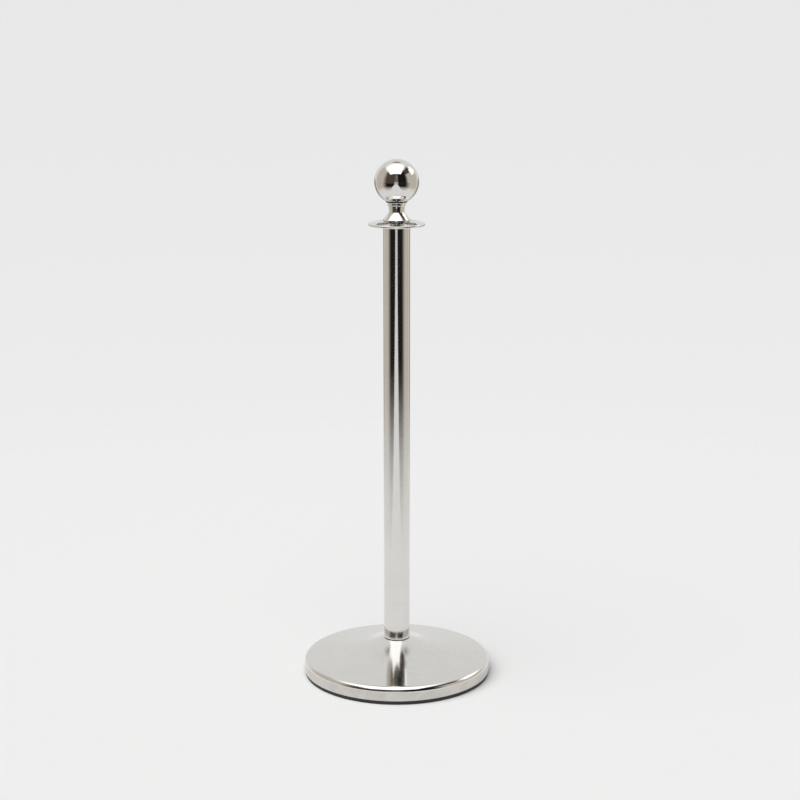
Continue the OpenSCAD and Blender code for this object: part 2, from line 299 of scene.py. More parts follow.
# ---------------------------------------------------------------------------------------------
# Cover. One disc of stainless sheet, spun over a former: crown, sweep, dome, shoulder, skirt and
# a lip turned in below. It is polished on the same lathe, so the finest marks run round it.

smear_tint = (0.93, 0.92, 0.90, 1)
polish_tree, polish_in = new_effect(
    "lathe_polish",
    {"Place": ("NodeSocketVector", None), "Colour": ("NodeSocketColor", (0.7, 0.7, 0.7, 1)),
     "Roughness": ("NodeSocketFloat", 0.08), "Haze": ("NodeSocketFloat", 0.04),
     "Line Width": ("NodeSocketFloat", 0.001), "Line Depth": ("NodeSocketFloat", 1e-7),
     "Wave Length": ("NodeSocketFloat", 0.04), "Wave Depth": ("NodeSocketFloat", 1e-6)},
    {"Colour": "NodeSocketColor", "Roughness": "NodeSocketFloat", "Height": "NodeSocketFloat"},
)
split = add_node(polish_tree, "ShaderNodeSeparateXYZ", {0: polish_in["Place"]})
radius = from_axis(polish_tree, split)
turn = maths(polish_tree, "ARCTAN2", split.outputs[1], split.outputs[0])
round_place = add_node(polish_tree, "ShaderNodeCombineXYZ",
                       {0: radius, 1: split.outputs[2],
                        2: maths(polish_tree, "MULTIPLY", maths(polish_tree, "SINE", turn), 0.004)})
line_scale = maths(polish_tree, "DIVIDE", 1.0, polish_in["Line Width"])
lines = noise_field(polish_tree, round_place.outputs[0], line_scale, 2.0)
wave_scale = maths(polish_tree, "DIVIDE", 1.0, polish_in["Wave Length"])
waves = noise_field(polish_tree, polish_in["Place"], wave_scale, 1.0)
wipes = noise_field(polish_tree, polish_in["Place"], 11.0, 5.0, roughness=0.6, distortion=1.2)
smears = noise_field(polish_tree, polish_in["Place"], 55.0, 3.0, distortion=2.0)
wipe_mask = fade(polish_tree, wipes, 0.42, 0.66)
smear_mask = maths(polish_tree, "MULTIPLY", wipe_mask,
                   fade(polish_tree, smears, 0.45, 0.70))
haze_mask = maths(polish_tree, "MULTIPLY_ADD", smear_mask, 0.6,
                  maths(polish_tree, "MULTIPLY", wipe_mask, 0.4))
line_mask = fade(polish_tree, lines, 0.35, 0.65)
rough = maths(polish_tree, "MULTIPLY_ADD", haze_mask, polish_in["Haze"], polish_in["Roughness"])
rough = maths(polish_tree, "MULTIPLY_ADD", line_mask,
              maths(polish_tree, "MULTIPLY", polish_in["Haze"], 0.3), rough)
deeper = add_node(polish_tree, "ShaderNodeMix",
                  {0: maths(polish_tree, "MULTIPLY_ADD", line_mask, 0.35,
                            maths(polish_tree, "MULTIPLY", haze_mask, 0.5)),
                   6: polish_in["Colour"], 7: smear_tint},
                  data_type="RGBA", blend_type="MULTIPLY")
height = maths(polish_tree, "MULTIPLY", lines, polish_in["Line Depth"])
height = maths(polish_tree, "MULTIPLY_ADD", waves, polish_in["Wave Depth"], height)
end_effect(polish_tree, {"Colour": deeper.outputs[2], "Roughness": rough, "Height": height})

steel_colour = (0.765, 0.752, 0.728, 1)


def polished_steel(name, **marks):
    """Polished stainless steel; marks are the values of its polish effect."""
    material, tree, shader, place = new_material(name, Metallic=1.0)
    polish = use_effect(tree, polish_tree, {"Place": place, "Colour": steel_colour, **marks})
    apply_finish(tree, shader, polish)
    return material


cover_low, cover_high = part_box("base_cover")
cover_wall = 1.0 * MM
cover_shoulder_r = 10 * MM
cover_skirt_h = 17.4 * MM
cover_shoulder_z = cover_low.z + cover_skirt_h
cover_crown_r = 25.3 * MM
cover_flare_rise = 14 * MM
cover_flare_power = 3.5
cover_lip_w = 9 * MM
cover_lip_round = 1.5 * MM
cover_bore_r = 8.75 * MM
cover_crown_bend = 0.8 * MM
cover_cut_edge = 0.2 * MM
cover_lip_edge = 0.3 * MM
skirt_fade_above = 2 * MM
skirt_fade_below = 1 * MM
# Colour of the painted shade on the skirt, in patches.
skirt_shade_colour = (0.60, 0.572, 0.548, 1)


def cover_line(inset):
    """Profile of the dome and the shoulder, from the skirt up to the crown, inset by a wall."""
    outer = cover_high.x - inset
    bend = cover_shoulder_r - inset
    top = cover_high.z - inset
    run = outer - bend - cover_crown_r
    drop = top - cover_flare_rise - cover_shoulder_z
    slope = atan2(drop, run) - asin(bend / sqrt(run ** 2 + drop ** 2))
    dome_end = outer - bend + bend * sin(slope)
    points = []
    shoulder_steps = 20
    for i in range(shoulder_steps + 1):
        angle = (pi / 2 - slope) * i / shoulder_steps
        points.append((outer - bend + bend * cos(angle), cover_shoulder_z + bend * sin(angle)))
    dome_steps = 72
    for i in range(1, dome_steps + 1):
        inward = i / dome_steps
        r = dome_end + (cover_crown_r - dome_end) * inward
        flare = cover_flare_rise * inward ** cover_flare_power
        points.append((r, top - cover_flare_rise - (r - cover_crown_r) * tan(slope) + flare))
    return points


outside = cover_line(0.0)
inside = cover_line(cover_wall)
outside[-1] = (*outside[-1], cover_crown_bend)
cover = spin_mesh("cover_sheet", [
    (cover_high.x - cover_lip_w, cover_low.z, cover_lip_edge),
    (cover_high.x, cover_low.z, cover_lip_round),
    *outside,
    (cover_bore_r, cover_high.z, cover_cut_edge),
    (cover_bore_r, cover_high.z - cover_wall, cover_cut_edge),
    *reversed(inside),
    (cover_high.x - cover_wall, cover_low.z + cover_wall, cover_lip_round - cover_wall),
    (cover_high.x - cover_lip_w, cover_low.z + cover_wall, cover_lip_edge),
], sides=320)
cover_steel = polished_steel(
    "polished_cover_steel",
    Roughness=0.10, Haze=0.05,
    **{"Line Width": 1.6 * MM, "Line Depth": 0.25e-6, "Wave Length": 45 * MM, "Wave Depth": 12e-6},
)
# Painted shade: the skirt's colour is darkened in patches, more than the dome above it, to stand in
# for the darker reflection of the shaded floor beside the base.
tree = cover_steel.node_tree
shader = tree.nodes["Principled BSDF"]
place = add_node(tree, "ShaderNodeTexCoord").outputs["Object"]
shade_patches = noise_field(tree, place, 30.0, 5.0, distortion=0.8)
cover_z = add_node(tree, "ShaderNodeSeparateXYZ", {0: place}).outputs[2]
skirt = fade(tree, cover_z, cover_shoulder_z + skirt_fade_above,
             cover_shoulder_z - skirt_fade_below)
skirt_shade = maths(tree, "MULTIPLY", skirt, fade(tree, shade_patches, 0.35, 0.60, 0.6, 1.0))
polished = shader.inputs["Base Color"].links[0].from_socket
tree.links.new(mix_colour(tree, skirt_shade, polished, skirt_shade_colour), shader.inputs["Base Color"])
cover.data.materials.append(cover_steel)
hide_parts("base_cover")
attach(cover, "base")


# ---------------------------------------------------------------------------------------------
# Foot ring. Black rubber, moulded in one length and pressed over the cover's lip. It carries the
# post on the floor and keeps the steel off it.

ring_low, ring_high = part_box("foot_ring")
ring_in_r = 165.7 * MM
ring_lip_r = 170.7 * MM
ring_grip_r = 175.0 * MM
ring_gap = 0.02 * MM
ring_show_h = cover_low.z - ring_gap
ring_grip_h = 2.39 * MM
ring_groove_top = ring_high.z - ring_grip_h
ring_inner_edge = 0.8 * MM
ring_foot_edge = 1.2 * MM
ring_shown_edge = 0.5 * MM
ring_lip_edge = 0.2 * MM
ring_groove_edge = 0.4 * MM
rubber_dark = (0.010, 0.010, 0.0105, 1)
rubber_pale = (0.019, 0.019, 0.020, 1)
floor_dust = (0.060, 0.056, 0.051, 1)

foot = spin_mesh("rubber_foot_ring", [
    (ring_in_r, ring_low.z, ring_inner_edge),
    (ring_high.x, ring_low.z, ring_foot_edge),
    (ring_high.x, ring_show_h, ring_shown_edge),
    (ring_lip_r, ring_show_h, ring_lip_edge),
    (ring_lip_r, ring_groove_top, ring_lip_edge),
    (ring_grip_r, ring_groove_top, ring_groove_edge),
    (ring_grip_r, ring_high.z, ring_inner_edge),
    (ring_in_r, ring_high.z, ring_inner_edge),
], sides=256)
rubber, tree, shader, place = new_material("ring_rubber", Metallic=0.0, IOR=1.5,
                                           Sheen_Weight=0.05, Sheen_Roughness=0.5)
skin = use_effect(tree, grain_tree, {"Place": place, "Grain Size": 0.7 * MM,
                                     "Height": 0.012 * MM, "Pits": 0.3})
dust = noise_field(tree, place, 34.0, 6.0, roughness=0.65)
dusty = fade(tree, dust, 0.5, 0.78)
rubber_colour = mix_colour(tree, skin["Mask"], rubber_dark, rubber_pale)
rubber_colour = mix_colour(tree, maths(tree, "MULTIPLY", dusty, 0.5), rubber_colour, floor_dust)
tree.links.new(rubber_colour, shader.inputs["Base Color"])
tree.links.new(fade(tree, dusty, 0.0, 1.0, 0.55, 0.85), shader.inputs["Roughness"])
bump(tree, shader, skin["Height"])
foot.data.materials.append(rubber)
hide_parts("foot_ring")
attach(foot, "base")


# ---------------------------------------------------------------------------------------------
# Base bolt and its washers. A forged M16 bolt that pulls the post down on the crown, with a thick
# plate washer and a split spring washer. All are zinc plated and spun dry.

zinc_bright = (0.60, 0.615, 0.63, 1)
zinc_dull = (0.50, 0.495, 0.47, 1)
zinc_line_dark = (0.36, 0.36, 0.37, 1)
zinc_tree, zinc_in = new_effect(
    "zinc_plate",
    {"Place": ("NodeSocketVector", None), "Tool Lines": ("NodeSocketFloat", 0.0005)},
    {"Colour": "NodeSocketColor", "Roughness": "NodeSocketFloat", "Height": "NodeSocketFloat"},
)
clouds = noise_field(zinc_tree, zinc_in["Place"], 130.0, 4.0, distortion=0.6)
spangle = add_node(zinc_tree, "ShaderNodeTexVoronoi",
                   {"Vector": zinc_in["Place"], "Scale": 900.0, "Randomness": 1.0})
parts = add_node(zinc_tree, "ShaderNodeSeparateXYZ", {0: zinc_in["Place"]})
turned_place = add_node(zinc_tree, "ShaderNodeCombineXYZ",
                        {0: from_axis(zinc_tree, parts), 1: parts.outputs[2]})
tool_scale = maths(zinc_tree, "DIVIDE", 1.0, zinc_in["Tool Lines"])
tool_lines = noise_field(zinc_tree, turned_place.outputs[0], tool_scale, 2.0)
cloud_mask = fade(zinc_tree, clouds, 0.35, 0.7)
tool_mask = fade(zinc_tree, tool_lines, 0.35, 0.65)
zinc_colour = mix_colour(zinc_tree, cloud_mask, zinc_bright, zinc_dull)
zinc_colour = mix_colour(zinc_tree, maths(zinc_tree, "MULTIPLY", tool_mask, 0.3), zinc_colour,
                         zinc_line_dark)
zinc_rough = maths(zinc_tree, "MULTIPLY_ADD", cloud_mask, 0.16, 0.27)
zinc_rough = maths(zinc_tree, "MULTIPLY_ADD", spangle.outputs["Color"], 0.06, zinc_rough)
end_effect(zinc_tree, {
    "Colour": zinc_colour,
    "Roughness": zinc_rough,
    "Height": maths(zinc_tree, "MULTIPLY_ADD", tool_lines, 4e-6,
                    maths(zinc_tree, "MULTIPLY", clouds, 6e-6)),
})


def zinc_plated(name, tool_lines):
    """Zinc plated steel; tool_lines is the spacing of the marks that the lathe left."""
    material, tree, shader, place = new_material(name, Metallic=1.0)
    plate = use_effect(tree, zinc_tree, {"Place": place, "Tool Lines": tool_lines})
    apply_finish(tree, shader, plate)
    return material


def finish_cad_node(name, material):
    """Keeps the CAD node's own shape and gives it its real finish."""
    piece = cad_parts[name]
    piece.data.materials.clear()
    piece.data.materials.append(material)


def thread_rows(z_low, z_high, crest_r, pitch, lead, sides):
    """Vertices and faces of a screw thread with both ends run out on a cone of height lead."""
    crest, root = 1 / 16, 3 / 8   # ends of crest and flank, in pitches from the crest's middle
    depth_in_pitches = 0.6134
    depth = depth_in_pitches * pitch
    phases = [crest, root, 1 - root, 1 - crest]
    verts, faces = [], []

    def surface(z, turn):
        phase = (z - z_low) / pitch - turn / (2 * pi)
        away = abs(phase - floor(phase + 0.5))
        r = crest_r - depth * min(1.0, max(0.0, (away - crest) / (root - crest)))
        cone = crest_r - max(0.0, lead - (z - z_low), lead - (z_high - z))
        return min(r, cone)

    first = -1
    turns = ceil((z_high - z_low) / pitch) + 1
    for whole in range(first, turns):
        for phase in phases:
            for side in range(sides + 1):
                turn = 2 * pi * side / sides
                z = z_low + (whole + phase + side / sides) * pitch
                z = min(z_high, max(z_low, z))
                r = surface(z, turn)
                verts.append((r * cos(turn), r * sin(turn), z))
    row_count = (turns - first) * len(phases)
    for row in range(row_count - 1):
        for side in range(sides):
            a = row * (sides + 1) + side
            b = a + sides + 1
            faces.append((a, a + 1, b + 1, b))
    return verts, faces


def screw_mesh(name, parts, end_heights):
    """One welded mesh from lists of vertices and faces, with flat ends at the two heights."""
    weld = 2e-7
    level = 1e-6
    shape = bmesh.new()
    for verts, faces in parts:
        made = [shape.verts.new(v) for v in verts]
        for face in faces:
            corners = list(dict.fromkeys(made[i] for i in face))
            if len({tuple(round(c, 8) for c in v.co) for v in corners}) > 2:
                shape.faces.new(corners)
    bmesh.ops.remove_doubles(shape, verts=shape.verts, dist=weld)
    bmesh.ops.dissolve_degenerate(shape, edges=shape.edges, dist=weld)
    for height in end_heights:
        rim = [e for e in shape.edges if e.is_boundary
               and all(abs(v.co.z - height) < level for v in e.verts)]
        bmesh.ops.triangle_fill(shape, edges=rim, use_beauty=True)
    bmesh.ops.recalc_face_normals(shape, faces=shape.faces)
    mesh = bpy.data.meshes.new(name)
    shape.to_mesh(mesh)
    shape.free()
    return link_new(name, mesh)


def hexagon_rows(z_low, z_high, across_flats, hole_r, sides=144):
    """Hexagon whose corners are turned off at 30 degrees at both ends."""
    flat_r = across_flats / 2
    face_share = 0.97
    face_r = flat_r * face_share
    verts, faces = [], []
    columns = []
    for side in range(sides):
        turn = 2 * pi * side / sides
        sector = (turn + pi / 6) % (pi / 3) - pi / 6
        wall_r = flat_r / cos(sector)
        bevel = (wall_r - flat_r) * tan(radians(30))
        column = [(hole_r, z_low), (face_r, z_low), (wall_r, z_low + bevel),
                  (wall_r, z_high - bevel), (face_r, z_high), (hole_r, z_high)]
        columns.append(len(verts))
        for r, z in column:
            verts.append((r * cos(turn), r * sin(turn), z))
    for side in range(sides):
        a, b = columns[side], columns[(side + 1) % sides]
        for i in range(len(column) - 1):
            faces.append((a + i, b + i, b + i + 1, a + i + 1))
    return verts, faces


bolt_low, bolt_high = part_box("base_bolt")
bolt_head_top = bolt_low.z + 10 * MM
bolt_flats = 24 * MM
bolt_r = 8 * MM
bolt_pitch = 2 * MM
bolt_lead = 1.4 * MM
bolt_core_r = bolt_r * 0.8
bolt_sink = 0.2 * MM
bolt = screw_mesh("base_bolt_m16", [
    hexagon_rows(bolt_low.z, bolt_head_top, bolt_flats, bolt_core_r),
    thread_rows(bolt_head_top - bolt_sink, bolt_high.z, bolt_r, bolt_pitch, bolt_lead,
                sides=64),
], (bolt_low.z, bolt_high.z))
bolt_finish = zinc_plated("bolt_zinc", 0.9 * MM)
bolt.data.materials.append(bolt_finish)
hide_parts("base_bolt")
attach(bolt, "base")
finish_cad_node("plate_washer", zinc_plated("washer_zinc", 1.5 * MM))
finish_cad_node("bolt_spring_washer", zinc_plated("spring_washer_zinc", 2.5 * MM))


# ---------------------------------------------------------------------------------------------
# Post. A stainless tube, centreless polished, with a turned and threaded plug welded into each
# end. A thin nylon ring on the lower plug's step keeps the tube off the cover.

nylon_dark = (0.013, 0.012, 0.012, 1)
nylon_pale = (0.030, 0.029, 0.028, 1)
nylon_tree, nylon_in = new_effect(
    "turned_nylon",
    {"Place": ("NodeSocketVector", None)},
    {"Colour": "NodeSocketColor", "Roughness": "NodeSocketFloat", "Height": "NodeSocketFloat"},
)
parts = add_node(nylon_tree, "ShaderNodeSeparateXYZ", {0: nylon_in["Place"]})
nylon_place = add_node(nylon_tree, "ShaderNodeCombineXYZ",
                       {0: from_axis(nylon_tree, parts), 1: parts.outputs[2]})
nylon_lines = noise_field(nylon_tree, nylon_place.outputs[0], 2200.0, 1.0)
nylon_cloud = noise_field(nylon_tree, nylon_in["Place"], 160.0, 4.0)
nylon_mask = fade(nylon_tree, nylon_cloud, 0.35, 0.7)
end_effect(nylon_tree, {
    "Colour": mix_colour(nylon_tree, nylon_mask, nylon_dark, nylon_pale),
    "Roughness": maths(nylon_tree, "MULTIPLY_ADD", nylon_mask, 0.18, 0.38),
    "Height": maths(nylon_tree, "MULTIPLY", nylon_lines, 8e-6),
})
nylon, tree, shader, place = new_material("black_nylon", Metallic=0.0, IOR=1.53)
apply_finish(tree, shader, use_effect(tree, nylon_tree, {"Place": place}))


def spin_band(name, inner_r, low, high, edges):
    """Plain ring or tube in its box; edges round it low inside, low and high outside, inside."""
    radii = (inner_r, high.x, high.x, inner_r)
    heights = (low.z, low.z, high.z, high.z)
    return spin_mesh(name, list(zip(radii, heights, edges)))


seat_low, seat_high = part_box("seat_ring")
seat_in_r = 17.1 * MM
seat_edges = (0.15 * MM, 0.3 * MM, 0.3 * MM, 0.15 * MM)
seat = spin_band("seat_ring_nylon", seat_in_r, seat_low, seat_high, seat_edges)
seat.data.materials.append(nylon)
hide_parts("seat_ring")
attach(seat, "seat_ring")

tube_low, tube_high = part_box("post_tube")
tube_in_r = 23.8 * MM
tube_edges = (0.2 * MM, 0.4 * MM, 0.4 * MM, 0.2 * MM)
tube = spin_band("post_tube_steel", tube_in_r, tube_low, tube_high, tube_edges)
tube.data.materials.append(polished_steel(
    "polished_tube_steel",
    Roughness=0.07, Haze=0.05,
    **{"Line Width": 2.2 * MM, "Line Depth": 0.2e-6, "Wave Length": 90 * MM, "Wave Depth": 8e-6},
))
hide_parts("post_tube")
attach(tube, "post")
plug_finish = zinc_plated("turned_plug_steel", 0.5 * MM)
finish_cad_node("lower_plug", plug_finish)
finish_cad_node("upper_plug", plug_finish)


# ---------------------------------------------------------------------------------------------
# Rope flange. A turned and polished disc with a rounded rim and a raised centre that the finial
# bears on. Four round holes take the rope hooks; their edges are broken so that a hook runs freely.

flange_low, flange_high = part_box("rope_flange")
flange_bore_r = 11.05 * MM
flange_hub_r = 26 * MM
flange_rim_r = 2.4 * MM
flange_hole_ring_r = 37 * MM
flange_hole_r = 11 * MM
flange_hole_edge = 0.9 * MM
flange_holes = 4
flange_hub_bend = 5 * MM
flange_rim_at = flange_high.x - flange_rim_r
flange_rim_top = flange_low.z + 2 * flange_rim_r
flange_fall = (flange_high.z - flange_rim_top) / (flange_rim_at - flange_hub_r)


def flange_top(r):
    """Height and slope of the upper face at radius r: flat centre, soft bend, straight fall."""
    past = (r - flange_hub_r) / flange_hub_bend + 0.5
    if past <= 0.0:
        return flange_high.z, 0.0
    if past >= 1.0:
        return flange_high.z - flange_fall * (r - flange_hub_r), -flange_fall
    return (flange_high.z - flange_fall * flange_hub_bend * past ** 2 / 2, -flange_fall * past)


def flange_mesh():
    """Upper and lower face around each hole, the holes' walls, the rim and the bore."""
    verts, outs, faces = [], [], []

    def add_grid(rows, flip=False):
        """rows of (place, normal); neighbours are joined by quads."""
        start = len(verts)
        width = len(rows[0])
        for row in rows:
            for place, out in row:
                verts.append(place)
                outs.append(out)
        for i in range(len(rows) - 1):
            for j in range(width - 1):
                a = start + i * width + j
                quad = (a, a + 1, a + width + 1, a + width)
                faces.append(quad[::-1] if flip else quad)

    arc_steps, side_steps, layers = 24, 16, 14
    edge_steps, rim_steps, sides = 6, 16, 192
    half = pi / flange_holes
    for hole in range(flange_holes):
        middle = pi / 4 + 2 * half * hole
        centre = (flange_hole_ring_r * cos(middle), flange_hole_ring_r * sin(middle))
        outline = []
        for from_r, to_r, end in ((flange_rim_at, flange_bore_r, half),
                                  (flange_bore_r, flange_rim_at, -half)):
            for i in range(arc_steps):
                outline.append((from_r, -end + 2 * end * i / arc_steps))
            for i in range(side_steps):
                outline.append((from_r + (to_r - from_r) * i / side_steps, end))
        outline.append(outline[0])
        outline = [(r * cos(middle + a), r * sin(middle + a)) for r, a in outline]
        ring_r = flange_hole_r + flange_hole_edge
        circle = []
        for x, y in outline:
            reach = Vector((x - centre[0], y - centre[1])).normalized()
            circle.append((reach, Vector(centre) + reach * ring_r))

        def face_place(x, y, top):
            r = sqrt(x * x + y * y)
            if not top:
                return (x, y, flange_low.z), (0.0, 0.0, -1.0)
            z, slope = flange_top(r)
            out = Vector((-slope * x / r, -slope * y / r, 1.0)).normalized()
            return (x, y, z), tuple(out)

        for top in (True, False):
            rows = []
            for layer in range(layers + 1):
                part = layer / layers
                row = []
                for (x, y), (_, near) in zip(outline, circle):
                    row.append(face_place(x + (near.x - x) * part, y + (near.y - y) * part, top))
                rows.append(row)
            for step in range(1, edge_steps + 1):
                angle = pi / 2 * step / edge_steps
                row = []
                for reach, near in circle:
                    spot = Vector(centre) + reach * (ring_r - flange_hole_edge * sin(angle))
                    (x, y, z), out = face_place(near.x, near.y, top)
                    drop = flange_hole_edge * (1 - cos(angle))
                    up = Vector(out) * cos(angle) - Vector((reach.x, reach.y, 0.0)) * sin(angle)
                    row.append(((spot.x, spot.y, z - drop if top else z + drop),
                                tuple(up.normalized())))
                rows.append(row)
            add_grid(rows, flip=not top)
            if top:
                upper_edge = rows[-1]
            else:
                lower_edge = rows[-1]
        add_grid([upper_edge, lower_edge])

    rim = []
    for step in range(rim_steps + 1):
        angle = pi / 2 - pi * step / rim_steps
        row = []
        for side in range(sides + 1):
            turn = 2 * pi * side / sides
            r = flange_rim_at + flange_rim_r * cos(angle)
            out = (cos(angle) * cos(turn), cos(angle) * sin(turn), sin(angle))
            row.append(((r * cos(turn), r * sin(turn),
                         flange_low.z + flange_rim_r + flange_rim_r * sin(angle)), out))
        rim.append(row)
    add_grid(rim, flip=True)
    bore = []
    for z in (flange_low.z, flange_high.z):
        row = []
        for side in range(sides + 1):
            turn = 2 * pi * side / sides
            row.append(((flange_bore_r * cos(turn), flange_bore_r * sin(turn), z),
                        (-cos(turn), -sin(turn), 0.0)))
        bore.append(row)
    add_grid(bore, flip=True)
    return verts, outs, faces


flange = smooth_piece("rope_flange_steel", *flange_mesh())
flange.data.materials.append(polished_steel(
    "polished_flange_steel",
    Roughness=0.07, Haze=0.05,
    **{"Line Width": 0.8 * MM, "Line Depth": 0.3e-6, "Wave Length": 30 * MM, "Wave Depth": 3e-6},
))
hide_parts("rope_flange")
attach(flange, "rope_flange")


# ---------------------------------------------------------------------------------------------
# Glide ring. Nylon, pressed into the neck's groove; the neck turns on it as the finial is screwed
# down, and it shows as a thin dark line above the flange.

glide_low, glide_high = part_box("glide_ring")
glide_in_r = 12.77 * MM
glide_edges = (0.15 * MM, 0.25 * MM, 0.15 * MM, 0.15 * MM)
glide = spin_band("glide_ring_nylon", glide_in_r, glide_low, glide_high, glide_edges)
glide.data.materials.append(nylon)
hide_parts("glide_ring")
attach(glide, "glide_ring")


# ---------------------------------------------------------------------------------------------
# Finial neck. Turned from bar and mirror polished: a foot, a sweep in to the waist, a bead and the
# cup that the ball sits in. Its underside is recessed for the lock nut and grooved for the ring.

neck_low, neck_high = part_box("finial_neck")
_, ball_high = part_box("ball_shell")
ball_r = ball_high.x
ball_z = ball_high.z - ball_r
neck_edge_h = 2.7 * MM
neck_sweep_h = 15 * MM
neck_sweep_power = 1.25
neck_waist_h = 9.8 * MM
neck_waist_r = 14.6 * MM
neck_bead_r = 17 * MM
neck_bead_t = 5.4 * MM
neck_cup_root_r = 16.5 * MM
neck_cup_r = 20 * MM
neck_bore_r = 6.375 * MM
neck_recess_r = 11.27 * MM
neck_recess_h = 14 * MM
neck_groove_in_r = 12.67 * MM
neck_groove_out_r = 23.3 * MM
neck_groove_h = 0.8 * MM
neck_cut_edge = 0.15 * MM
neck_groove_edge = 0.1 * MM
neck_foot_edge = 0.6 * MM
neck_rim_edge = 0.5 * MM
neck_bead_root = 0.35 * MM
neck_cup_root = 0.25 * MM
neck_lip_edge = 0.9 * MM
neck_bore_edge = 0.2 * MM
neck_recess_bend = 0.3 * MM
cup_gap = 0.05 * MM

neck_edge_z = neck_low.z + neck_edge_h
neck_waist_z = neck_edge_z + neck_sweep_h
neck_bead_z = neck_waist_z + neck_waist_h + neck_bead_t / 2
neck_cup_z = neck_bead_z + neck_bead_t / 2
neck_line = [
    (neck_recess_r, neck_low.z, neck_bore_edge),
    (neck_groove_in_r, neck_low.z, neck_cut_edge),
    (neck_groove_in_r, neck_low.z + neck_groove_h, neck_groove_edge),
    (neck_groove_out_r, neck_low.z + neck_groove_h, neck_groove_edge),
    (neck_groove_out_r, neck_low.z, neck_cut_edge),
    (neck_high.x, neck_low.z, neck_foot_edge),
    (neck_high.x, neck_edge_z, neck_rim_edge),
]
sweep_steps = 40
for i in range(1, sweep_steps + 1):
    left = 1 - i / sweep_steps
    neck_line.append((neck_waist_r + (neck_high.x - neck_waist_r) * left ** neck_sweep_power,
                      neck_edge_z + neck_sweep_h * i / sweep_steps))
bead_bend = neck_bead_t / 2
bead_turn = asin((neck_waist_r - (neck_bead_r - bead_bend)) / bead_bend)
neck_line.append((neck_waist_r, neck_bead_z - bead_bend * cos(bead_turn), neck_bead_root))
bead_steps = 24
bead_end = acos((neck_cup_root_r - (neck_bead_r - bead_bend)) / bead_bend)
bead_start = bead_turn - pi / 2
for i in range(1, bead_steps):
    angle = bead_start + (bead_end - bead_start) * i / bead_steps
    neck_line.append((neck_bead_r - bead_bend + bead_bend * cos(angle),
                      neck_bead_z + bead_bend * sin(angle)))
neck_line.append((neck_cup_root_r, neck_cup_z, neck_cup_root))
cup_steps = 20
for i in range(1, cup_steps):
    angle = pi / 2 * i / cup_steps
    neck_line.append((neck_cup_root_r + (neck_cup_r - neck_cup_root_r) * sin(angle),
                      neck_cup_z + (neck_high.z - neck_cup_z) * (1 - cos(angle))))
neck_line.append((neck_cup_r, neck_high.z, neck_lip_edge))
seat_steps = 12
cup_seat_r = ball_r + cup_gap
for i in range(1, seat_steps + 1):
    r = neck_cup_r + (neck_bore_r - neck_cup_r) * i / seat_steps
    neck_line.append((r, ball_z - sqrt(cup_seat_r ** 2 - r ** 2)))
neck_line += [
    (neck_bore_r, neck_low.z + neck_recess_h, neck_bore_edge),
    (neck_recess_r, neck_low.z + neck_recess_h, neck_recess_bend),
]
neck = spin_mesh("finial_neck_steel", neck_line)
bright = polished_steel(
    "mirror_finial_steel",
    Roughness=0.045, Haze=0.035,
    **{"Line Width": 0.8 * MM, "Line Depth": 0.1e-6, "Wave Length": 30 * MM, "Wave Depth": 1e-6},
)
neck.data.materials.append(bright)
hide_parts("finial_neck")
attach(neck, "finial")


# ---------------------------------------------------------------------------------------------
# Finial stud, lock nut and spring washer. The M12 rod is screwed into the ball's boss and through
# the neck into the post; the nut inside the neck's foot locks the neck against the ball.

stud_low, stud_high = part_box("finial_stud")
stud_r = 6 * MM
stud_pitch = 1.75 * MM
stud_lead = 1.2 * MM
stud = screw_mesh("finial_stud_m12", [
    thread_rows(stud_low.z, stud_high.z, stud_r, stud_pitch, stud_lead, sides=48),
], (stud_low.z, stud_high.z))
stud.data.materials.append(bolt_finish)
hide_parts("finial_stud")
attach(stud, "finial")
finish_cad_node("lock_nut", zinc_plated("nut_zinc", 1.2 * MM))
finish_cad_node("nut_spring_washer", zinc_plated("nut_washer_zinc", 2.0 * MM))
finish_cad_node("ball_boss", plug_finish)


# ---------------------------------------------------------------------------------------------
# Ball. Two pressed halves of thin stainless sheet, welded round the middle and polished until the
# seam is gone, with an opening below for the threaded boss.

ball_wall = 1.2 * MM
ball_hole_r = 12.05 * MM
ball_steps = 72


def ball_line(shell_r):
    """Half outline of a ball about the same centre, from the opening below up to the top."""
    lowest = -acos(ball_hole_r / shell_r)
    points = []
    for i in range(ball_steps + 1):
        angle = lowest + (pi / 2 - lowest) * i / ball_steps
        points.append((shell_r * cos(angle) if i < ball_steps else 0.0,
                       ball_z + shell_r * sin(angle)))
    return points


outer_line = ball_line(ball_r)
inner_line = ball_line(ball_r - ball_wall)
ball = spin_mesh("ball_shell_steel", outer_line, closed=False)
lining = spin_mesh("ball_lining", [*reversed(inner_line), outer_line[0]], closed=False)
ball.data.materials.append(bright)
lining.data.materials.append(bright)
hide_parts("ball_shell")
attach(ball, "finial")
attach(lining, "finial")


# ---------------------------------------------------------------------------------------------
# Studio. A pale paper floor that goes dark with distance, but for a strip that runs on past the
# camera. The room round it shows only in the steel: walls, a dark front, a softbox overhead and a
# small light at the right. A sun lamp and a plain level of light do the rest.

paper_r = 1.75
paper_soft = 2.3
strip_half_w = 0.78
strip_lean = 0.06
strip_soft = 0.3
strip_bright_y = 1.5
strip_dark_y = 11.0
paper_colour = (0.868, 0.868, 0.865, 1)
fibre_share = 0.985
fibre_colour = (*(c * fibre_share for c in paper_colour[:3]), 1)
paper_half = 40.0
# Painted light: the paper inside the rubber ring glows with this colour for glossy rays.
under_glow = (0.55, 0.55, 0.55, 1)   # what the steel under the base mirrors in a view from below

